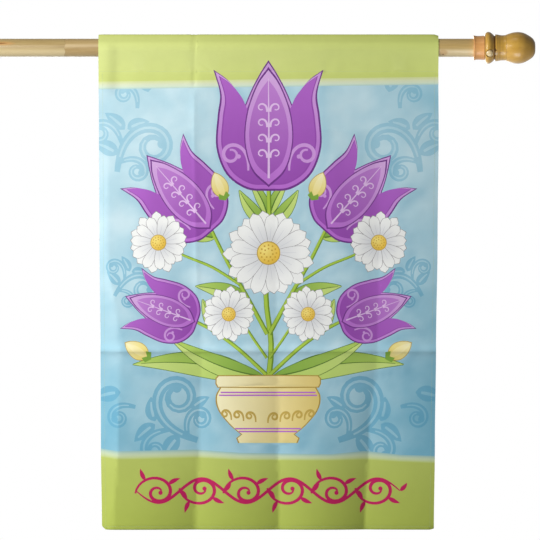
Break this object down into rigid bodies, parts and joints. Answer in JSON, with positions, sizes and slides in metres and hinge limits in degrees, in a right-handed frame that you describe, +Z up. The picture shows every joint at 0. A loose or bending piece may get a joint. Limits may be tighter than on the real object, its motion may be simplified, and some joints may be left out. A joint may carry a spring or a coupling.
{
  "type": "house flag on wooden pole",
  "caption": "Upright printed cloth house flag hung by its stitched sleeve from a round wooden pole with a turned wooden finial.",
  "frame": {"origin": "centre of the flat face at the pole's butt, the end away from the finial", "axes": "+X along the pole to the finial, -Y out of the flag's printed face, +Z up; the flag hangs towards -Z"},
  "size_m": [1.422, 0.0668, 1.0424],
  "materials": {
    "flag_cloth": "printed woven polyester, satin",
    "pole_wood": "clear-varnished pale dowel",
    "collar_wood": "varnished, redder wood",
    "finial_wood": "turned and gloss-varnished",
    "peg_wood": "varnished"
  },
  "bodies": {
    "root": {"flag_cloth": "flag_cloth", "flag_pole": "pole_wood", "finial_collar": "collar_wood", "finial": "finial_wood", "finial_peg": "peg_wood"}
  },
  "joints": []
}
